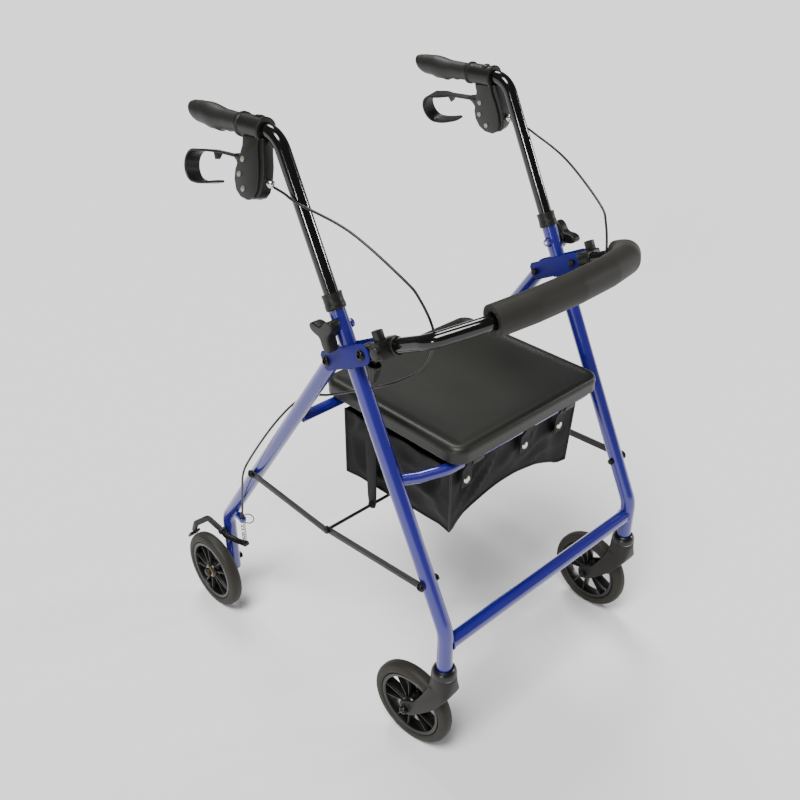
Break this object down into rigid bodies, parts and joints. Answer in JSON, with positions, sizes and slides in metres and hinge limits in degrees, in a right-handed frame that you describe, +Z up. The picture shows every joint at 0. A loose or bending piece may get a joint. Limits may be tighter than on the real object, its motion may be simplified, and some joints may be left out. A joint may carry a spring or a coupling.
{
  "type": "rollator walker",
  "caption": "Folding walker on wheels with a padded seat, soft basket, curved foam backrest, height-set handles and cable brakes.",
  "frame": {"origin": "on the floor, under the centre of the walker's box", "axes": "+Z up, -Y towards the front where the backrest bar is, -X towards the user's right hand, +Y towards the standing user"},
  "size_m": [0.6266, 0.6602, 0.9653],
  "materials": {
    "blue_paint": "gloss",
    "black_tube": "gloss",
    "black_plastic": "satin",
    "cable_jacket": "satin",
    "grey_plastic": "satin",
    "grip_rubber": "matte",
    "foam": "matte",
    "vinyl": "satin",
    "nylon": "woven",
    "tyre": "matte",
    "dark_metal": "satin",
    "steel": "bright"
  },
  "bodies": {
    "front_frame": {"front_leg_R": "blue_paint", "front_leg_L": "blue_paint", "front_cross_tube": "blue_paint", "front_seat_tube": "blue_paint", "collar_R": "black_plastic", "collar_L": "black_plastic", "fold_bolt_R": "dark_metal", "fold_bolt_L": "dark_metal", "front_brace_bolt_R": "dark_metal", "front_brace_bolt_L": "dark_metal", "backrest_bolt_R": "dark_metal", "backrest_bolt_L": "dark_metal", "brake_cable_R": "cable_jacket", "brake_cable_L": "cable_jacket", "basket": "nylon", "fold_strap": "nylon"},
    "rear_frame": {"rear_leg_R": "blue_paint", "rear_leg_L": "blue_paint", "rear_seat_tube": "blue_paint", "rear_axle_R": "dark_metal", "rear_axle_L": "dark_metal", "rear_brace_bolt_R": "dark_metal", "rear_brace_bolt_L": "dark_metal", "brake_spring_R": "steel", "brake_spring_L": "steel"},
    "brace_front": {"brace_front": "dark_metal"},
    "brace_rear": {"brace_rear_R": "dark_metal", "brace_rear_L": "dark_metal"},
    "seat": {"seat_pad": "vinyl", "seat_base": "black_plastic"},
    "backrest": {"backrest_tube": "black_tube", "backrest_foam": "foam", "backrest_socket_R": "black_plastic", "backrest_socket_L": "black_plastic"},
    "wing_knob_R": {"wing_knob_R": "black_plastic"},
    "height_knob_R": {"height_knob_R": "black_plastic"},
    "handle_R": {"handle_tube_R": "black_tube", "hand_grip_R": "grip_rubber", "brake_housing_R": "black_plastic"},
    "lever_R": {"brake_lever_R": "black_plastic"},
    "brake_arm_R": {"brake_arm_R": "dark_metal"},
    "caster_R": {"caster_fork_R": "grey_plastic"},
    "caster_wheel_R": {"caster_hub_R": "black_plastic", "caster_tyre_R": "tyre", "caster_axle_R": "dark_metal"},
    "rear_wheel_R": {"rear_hub_R": "black_plastic", "rear_tyre_R": "tyre"},
    "wing_knob_L": {"wing_knob_L": "black_plastic"},
    "height_knob_L": {"height_knob_L": "black_plastic"},
    "handle_L": {"handle_tube_L": "black_tube", "hand_grip_L": "grip_rubber", "brake_housing_L": "black_plastic"},
    "lever_L": {"brake_lever_L": "black_plastic"},
    "brake_arm_L": {"brake_arm_L": "dark_metal"},
    "caster_L": {"caster_fork_L": "grey_plastic"},
    "caster_wheel_L": {"caster_hub_L": "black_plastic", "caster_tyre_L": "tyre", "caster_axle_L": "dark_metal"},
    "rear_wheel_L": {"rear_hub_L": "black_plastic", "rear_tyre_L": "tyre"}
  },
  "joints": [
    {"name": "frame_fold", "type": "hinge", "parent": "front_frame", "child": "rear_frame", "pos_m": [0, -0.0674, 0.64552], "axis": [-1, 0, 0], "range_deg": [0, 33], "deforming": ["basket", "fold_strap"]},
    {"name": "brace_front_fold", "type": "hinge", "parent": "front_frame", "child": "brace_front", "pos_m": [0, -0.2669, 0.3444], "axis": [1, 0, 0], "range_deg": [0, 41]},
    {"name": "brace_rear_fold", "type": "hinge", "parent": "rear_frame", "child": "brace_rear", "pos_m": [0, 0.142, 0.3426], "axis": [-1, 0, 0], "range_deg": [0, 49]},
    {"name": "seat_flip", "type": "hinge", "parent": "front_frame", "child": "seat", "pos_m": [0, -0.233, 0.4975], "axis": [1, 0, 0], "range_deg": [0, 75]},
    {"name": "backrest_flip", "type": "hinge", "parent": "front_frame", "child": "backrest", "pos_m": [0, -0.14341, 0.6847], "axis": [-1, 0, 0], "range_deg": [0, 80]},
    {"name": "wing_knob_R_turn", "type": "hinge", "parent": "backrest", "child": "wing_knob_R", "pos_m": [-0.235, -0.15641, 0.6687], "axis": [0, -0.2079, 0.9781], "continuous": true},
    {"name": "height_knob_R_turn", "type": "hinge", "parent": "front_frame", "child": "height_knob_R", "pos_m": [-0.26, -0.08705, 0.70345], "axis": [-1, 0, 0], "continuous": true},
    {"name": "handle_R_slide", "type": "slide", "parent": "front_frame", "child": "handle_R", "axis": [0, 0.4478, 0.8942], "range_m": [-0.12, 0.03], "deforming": ["brake_cable_R"]},
    {"name": "lever_R_squeeze", "type": "hinge", "parent": "handle_R", "child": "lever_R", "pos_m": [-0.24543, 0.09166, 0.90457], "axis": [0.9728, -0.0069, -0.2316], "range_deg": [0, 12], "stiffness_Nm_per_rad": 3},
    {"name": "brake_arm_R_press", "type": "hinge", "parent": "rear_frame", "child": "brake_arm_R", "pos_m": [-0.266, 0.25, 0.158], "axis": [-1, 0, 0], "range_deg": [0, 1.5], "deforming": ["brake_spring_R"]},
    {"name": "caster_R_swivel", "type": "hinge", "parent": "front_frame", "child": "caster_R", "pos_m": [-0.235, -0.3045, 0.19], "axis": [0, 0, 1], "continuous": true},
    {"name": "caster_wheel_R_spin", "type": "hinge", "parent": "caster_R", "child": "caster_wheel_R", "pos_m": [-0.24138, -0.24383, 0.076], "axis": [0.9945, 0.1045, 0], "continuous": true},
    {"name": "rear_wheel_R_spin", "type": "hinge", "parent": "rear_frame", "child": "rear_wheel_R", "pos_m": [-0.292, 0.254, 0.076], "axis": [1, 0, 0], "continuous": true},
    {"name": "wing_knob_L_turn", "type": "hinge", "parent": "backrest", "child": "wing_knob_L", "pos_m": [0.235, -0.15641, 0.6687], "axis": [0, -0.2079, 0.9781], "continuous": true},
    {"name": "height_knob_L_turn", "type": "hinge", "parent": "front_frame", "child": "height_knob_L", "pos_m": [0.26, -0.08705, 0.70345], "axis": [1, 0, 0], "continuous": true},
    {"name": "handle_L_slide", "type": "slide", "parent": "front_frame", "child": "handle_L", "axis": [0, 0.4478, 0.8942], "range_m": [-0.12, 0.03], "deforming": ["brake_cable_L"]},
    {"name": "lever_L_squeeze", "type": "hinge", "parent": "handle_L", "child": "lever_L", "pos_m": [0.24543, 0.09166, 0.90457], "axis": [0.9728, 0.0069, 0.2316], "range_deg": [0, 12], "stiffness_Nm_per_rad": 3},
    {"name": "brake_arm_L_press", "type": "hinge", "parent": "rear_frame", "child": "brake_arm_L", "pos_m": [0.266, 0.25, 0.158], "axis": [-1, 0, 0], "range_deg": [0, 1.5], "deforming": ["brake_spring_L"]},
    {"name": "caster_L_swivel", "type": "hinge", "parent": "front_frame", "child": "caster_L", "pos_m": [0.235, -0.3045, 0.19], "axis": [0, 0, 1], "continuous": true},
    {"name": "caster_wheel_L_spin", "type": "hinge", "parent": "caster_L", "child": "caster_wheel_L", "pos_m": [0.235, -0.2435, 0.076], "axis": [1, 0, 0], "continuous": true},
    {"name": "rear_wheel_L_spin", "type": "hinge", "parent": "rear_frame", "child": "rear_wheel_L", "pos_m": [0.292, 0.254, 0.076], "axis": [1, 0, 0], "continuous": true}
  ],
  "couplings": [
    {"joint": "brace_front_fold", "follows": "frame_fold", "ratio": 1.2213},
    {"joint": "brace_rear_fold", "follows": "frame_fold", "ratio": 1.4561},
    {"joint": "brake_arm_R_press", "follows": "lever_R_squeeze", "ratio": 0.125},
    {"joint": "brake_arm_L_press", "follows": "lever_L_squeeze", "ratio": 0.125}
  ]
}
